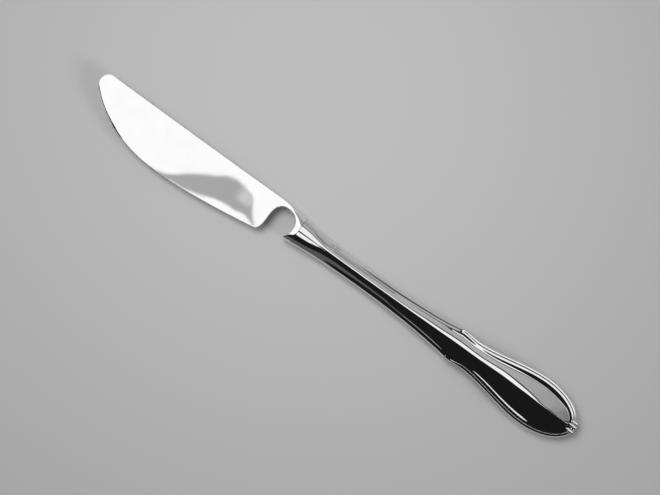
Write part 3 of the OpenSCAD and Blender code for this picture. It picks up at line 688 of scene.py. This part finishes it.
for name, width, watts, stand in LAMPS:
    lamp = new_object(name, bpy.data.lights.new(name, "AREA"))
    lamp.data.shape = "DISK"
    lamp.data.size = width
    lamp.data.energy = watts
    lamp.location = stand
    lamp.rotation_euler = Vector(stand).to_track_quat("Z", "Y").to_euler()
    lamp.visible_glossy = False

# Studio.
# The room that the steel mirrors: a wide white card overhead, dark at both its sides, with a grey shape, a
# small low card, and the camera's dark stand. Everything else gets even white light instead.

# From the picture's lower side over the top to its upper side: degrees from straight up, and grey
SIDES = (
    (-95, "#585858"), (-84, "#585858"), (-82, "#1A1A1A"), (-13, "#1A1A1A"), (-11, "#FFFFFF"),
    (23, "#FFFFFF"), (25, "#2C2C2C"), (38, "#2C2C2C"), (47, "#7A7A7A"), (52, "#969696"), (57, "#A5A5A5"),
    (62, "#ACACAC"), (75, "#B5B5B5"), (90, "#BCBCBC"))
SIDE_END = 95
# The grey shape shows in the blade's flat. Its two lines are given where they show there, in millimetres.
SHAPE_TOP = (
    (-56.0, -12.7), (-54.6, -11.95), (-53.1, -11.5), (-51.6, -10.95), (-50.2, -10.15), (-48.7, -9.2),
    (-47.2, -8.05), (-45.8, -6.8), (-44.3, -5.75), (-42.9, -4.8), (-39.9, -2.9), (-37.0, -1.3),
    (-35.5, -0.4), (-34.1, 0.7), (-32.6, 1.5), (-31.1, 2.0), (-29.7, 2.3), (-28.2, 2.37), (-26.7, 2.15),
    (-25.3, 1.85), (-23.0, 1.2), (-21.2, 0.7), (-20.3, -0.1), (-19.4, -1.3), (-18.0, -3.65), (-16.5, -5.5),
    (-15.0, -6.9), (-14.0, -8.3))
SHAPE_LOW = (
    (-56.0, -12.9), (-51.0, -12.4), (-47.2, -12.0), (-44.3, -11.8), (-42.9, -11.55), (-41.4, -11.25),
    (-39.9, -10.9), (-38.5, -10.55), (-37.0, -10.1), (-35.5, -9.5), (-34.1, -8.95), (-32.6, -8.4),
    (-31.1, -8.0), (-29.7, -7.7), (-28.2, -7.45), (-26.7, -7.3), (-23.8, -7.25), (-22.3, -7.0),
    (-20.9, -6.65), (-19.4, -6.5), (-18.0, -6.9), (-16.5, -7.4), (-15.0, -7.9), (-14.0, -8.3))
# A lighter facet of the shape: its start and end along the blade, and its lower side across it at one
# place. Each pair is where it is still nothing and where it is full.
FACET_START, FACET_END, FACET_SIDE = (-27.5, -23.5), (-19.0, -20.5), (-4.6, -2.2)
FACET_X = -23
# A stretch of the blade's flat that holds the shape: two places along it, and two across it at its middle
FIELD_ENDS, FIELD_SIDES, FIELD_MIDDLE = (-56, -12), (-15, 8), -34
# Softness of the shape's two lines, as shares of the stretch's width
TOP_SOFT, LOW_SOFT = 0.04, 0.014
# Strength of the even light
EVEN_LIGHT = 0.21

world = bpy.data.worlds.new("studio")
bpy.context.scene.world = world
world.use_nodes = True
tree = world.node_tree
tree.nodes.clear()
direction = add(tree, "ShaderNodeTexCoord").outputs["Generated"]
axes = add(tree, "ShaderNodeSeparateXYZ", {}, {"Vector": direction}).outputs
# Each direction is two angles from straight up, towards the butt and towards the spine's side
x_angle = add(tree, "ShaderNodeMath", {"operation": "ARCTAN2"}, {0: axes[0], 1: axes[2]}).outputs[0]
y_angle = add(tree, "ShaderNodeMath", {"operation": "ARCTAN2"}, {0: axes[1], 1: axes[2]}).outputs[0]


def mirrored(x, y):
    """The direction that the blade's flat mirrors to the camera at one of its points, as the two angles."""
    eye = Vector((MIDDLE_X, MIDDLE_Y, 0)) + back * CAMERA_MM
    sight = (Vector((x, y, 0)) - eye).normalized()
    face = Vector((0, -BEVEL, 1)).normalized()
    away = sight - 2 * sight.dot(face) * face
    return math.atan2(away.x, away.z), math.atan2(away.y, away.z)


def field(*edges, within=None):
    """A mask inside soft edges: each is a value, where it is still 0 and where it is 1."""
    for source, off, on in edges:
        soft = {"interpolation_type": "SMOOTHSTEP", 1: off, 2: on}
        step = add(tree, "ShaderNodeMapRange", soft, {0: source}).outputs[0]
        if within is not None:
            step = add(tree, "ShaderNodeMath", {"operation": "MULTIPLY"}, {0: within, 1: step}).outputs[0]
        within = step
    return within


def degrees(angle, off, on):
    """An edge of a field, with both its ends in degrees."""
    return angle, math.radians(off), math.radians(on)


# The stretch's limits, as angles
FIELD_X = [mirrored(x, 0)[0] for x in FIELD_ENDS]
FIELD_Y = [mirrored(FIELD_MIDDLE, y)[1] for y in FIELD_SIDES]


def boundary(points, source):
    """A line through mirrored points: for each share along the stretch, the share across it."""
    node = add(tree, "ShaderNodeFloatCurve", {}, {"Value": source})
    line = node.mapping.curves[0].points
    for k, point in enumerate(points):
        pairs = zip(mirrored(*point), (FIELD_X, FIELD_Y))
        at = [(angle - first) / (second - first) for angle, (first, second) in pairs]
        if k < 2:
            line[k].location = at
        else:
            line.new(*at)
    node.mapping.update()
    return node.outputs[0]


limits = {1: math.radians(-SIDE_END), 2: math.radians(SIDE_END)}
span = add(tree, "ShaderNodeMapRange", limits, {0: y_angle}).outputs[0]
ramp = add(tree, "ShaderNodeValToRGB", {}, {0: span})
stops = ramp.color_ramp.elements
for k, (angle, grey) in enumerate(SIDES):
    position = (angle + SIDE_END) / (2 * SIDE_END)
    stop = stops[k] if k < 2 else stops.new(position)
    stop.position = position
    stop.color = linear(grey)
room = ramp.outputs[0]

share_x = add(tree, "ShaderNodeMapRange", {1: FIELD_X[0], 2: FIELD_X[1]}, {0: x_angle}).outputs[0]
share_y = add(tree, "ShaderNodeMapRange", {1: FIELD_Y[0], 2: FIELD_Y[1]}, {0: y_angle}).outputs[0]
top, low = boundary(SHAPE_TOP, share_x), boundary(SHAPE_LOW, share_x)
under = add(tree, "ShaderNodeMath", {"operation": "SUBTRACT"}, {0: top, 1: share_y}).outputs[0]
over = add(tree, "ShaderNodeMath", {"operation": "SUBTRACT"}, {0: share_y, 1: low}).outputs[0]
shape = field((under, -TOP_SOFT, TOP_SOFT), (over, -LOW_SOFT, LOW_SOFT))
facet = field((x_angle, *(mirrored(x, 0)[0] for x in FACET_START)),
              (x_angle, *(mirrored(x, 0)[0] for x in FACET_END)),
              (y_angle, *(mirrored(FACET_X, y)[1] for y in FACET_SIDE)), within=shape)
# A small white card hangs low beyond the butt. Only the ribs mirror it, and wall and stand leave it free.
low_card = field(degrees(x_angle, 40, 44), degrees(x_angle, 61, 57))
spared = add(tree, "ShaderNodeMath", {"operation": "SUBTRACT", 0: 1.0}, {1: low_card}).outputs[0]
# The wide card ends towards the butt, where the grey wall follows, and the wall's upper side is darker
wall = field(degrees(x_angle, 22, 26), degrees(y_angle, -13, -11), degrees(y_angle, 25, 23), within=spared)
dark_wall = field(degrees(x_angle, 24, 66), degrees(y_angle, 30, 44))
# The stand is a broad dark bar towards the butt, and its arm a slim one that reaches on towards the blade
stand = field(degrees(y_angle, -20, -15), degrees(y_angle, 10.5, 8.5), degrees(x_angle, 2.1, 2.7),
              within=spared)
arm = field(degrees(y_angle, 0.4, 1), degrees(y_angle, 5.6, 5), degrees(x_angle, -1.5, -1))
shades = (
    (shape, "#A8A8A8"), (facet, "#C9C9C9"), (wall, "#9A9A9A"), (dark_wall, "#848484"), (stand, "#1A1A1A"),
    (arm, "#1A1A1A"))
for mask, grey in shades:
    room = add(tree, "ShaderNodeMix", {"data_type": "RGBA", 7: linear(grey)}, {0: mask, 6: room}).outputs[2]
in_steel = add(tree, "ShaderNodeBackground", {"Strength": 1.0}, {"Color": room}).outputs[0]
even = add(tree, "ShaderNodeBackground", {"Color": linear("#FFFFFF"), "Strength": EVEN_LIGHT}).outputs[0]
glossy = add(tree, "ShaderNodeLightPath").outputs["Is Glossy Ray"]
light = add(tree, "ShaderNodeMixShader", {}, {0: glossy, 1: even, 2: in_steel}).outputs[0]
add(tree, "ShaderNodeOutputWorld", {}, {"Surface": light})

bpy.context.scene.view_settings.view_transform = "Standard"
